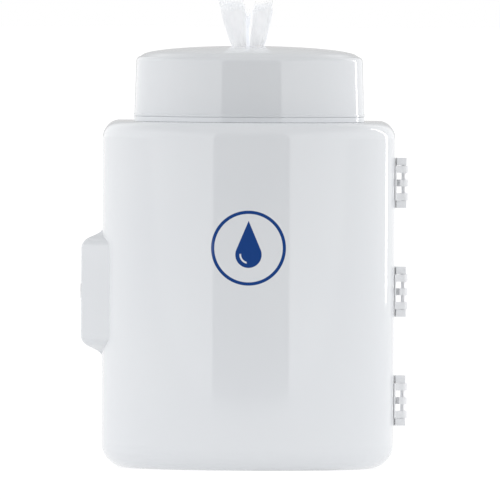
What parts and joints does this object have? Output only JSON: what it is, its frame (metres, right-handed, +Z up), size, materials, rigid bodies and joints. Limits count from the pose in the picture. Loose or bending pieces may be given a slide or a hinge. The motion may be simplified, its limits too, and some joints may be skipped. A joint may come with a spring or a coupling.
{
  "type": "wall-mounted wipe dispenser",
  "caption": "Wall case, half round in front, with a hinged lockable cover and a lift-off domed cap; a gathered wipe rises through the cap's centre from a roll inside.",
  "frame": {"origin": "centre of the case's back face, where it meets the wall", "axes": "+Y into the wall, +Z up, the front faces -Y and the hinges are on the +X side"},
  "size_m": [0.2614, 0.23, 0.3694],
  "materials": {
    "shell_plastic": "glossy cool white",
    "inner_plastic": "plain white moulding",
    "nozzle_plastic": "soft white",
    "hinge_plastic": "satin pale grey",
    "pin_metal": "dark satin",
    "lock_metal": "satin",
    "screw_steel": "zinc plated",
    "wipe_cloth": "thin white nonwoven"
  },
  "bodies": {
    "housing": {"rear_housing": "shell_plastic", "neck_ring": "inner_plastic", "neck_screw_1": "screw_steel", "neck_screw_2": "screw_steel", "neck_screw_3": "screw_steel", "neck_screw_4": "screw_steel", "wipes_roll": "wipe_cloth", "roll_tray": "inner_plastic", "tray_screw_1": "screw_steel", "tray_screw_2": "screw_steel", "hinge_housing_leaf_1": "hinge_plastic", "hinge_housing_leaf_2": "hinge_plastic", "hinge_housing_leaf_3": "hinge_plastic", "hinge_pin_1": "pin_metal", "hinge_pin_2": "pin_metal", "hinge_pin_3": "pin_metal", "strike_plate": "lock_metal", "strike_screw_1": "screw_steel", "strike_screw_2": "screw_steel"},
    "cover": {"front_cover": "shell_plastic", "hinge_cover_leaf_1": "hinge_plastic", "hinge_cover_leaf_2": "hinge_plastic", "hinge_cover_leaf_3": "hinge_plastic", "bolt_guide": "inner_plastic"},
    "cap": {"top_cap": "shell_plastic", "nozzle": "nozzle_plastic", "nozzle_ring": "inner_plastic", "wipe_tail": "wipe_cloth"},
    "bolt": {"latch_bolt": "lock_metal"},
    "lock": {"lock_barrel": "lock_metal"}
  },
  "joints": [
    {"name": "cover_swing", "type": "hinge", "parent": "housing", "child": "cover", "pos_m": [0.124, -0.113, 0], "axis": [0, 0, 1], "range_deg": [0, 115]},
    {"name": "cap_lift", "type": "slide", "parent": "housing", "child": "cap", "axis": [0, 0, 1], "range_m": [0, 0.06]},
    {"name": "lock_turn", "type": "hinge", "parent": "cover", "child": "lock", "pos_m": [-0.132, -0.1214, 0.0024], "axis": [1, 0, 0], "range_deg": [0, 90]},
    {"name": "bolt_throw", "type": "slide", "parent": "cover", "child": "bolt", "axis": [0, 1, 0], "range_m": [0, 0.0055]}
  ],
  "couplings": [
    {"joint": "lock_turn", "follows": "bolt_throw", "rad_per_m": 284.8}
  ]
}
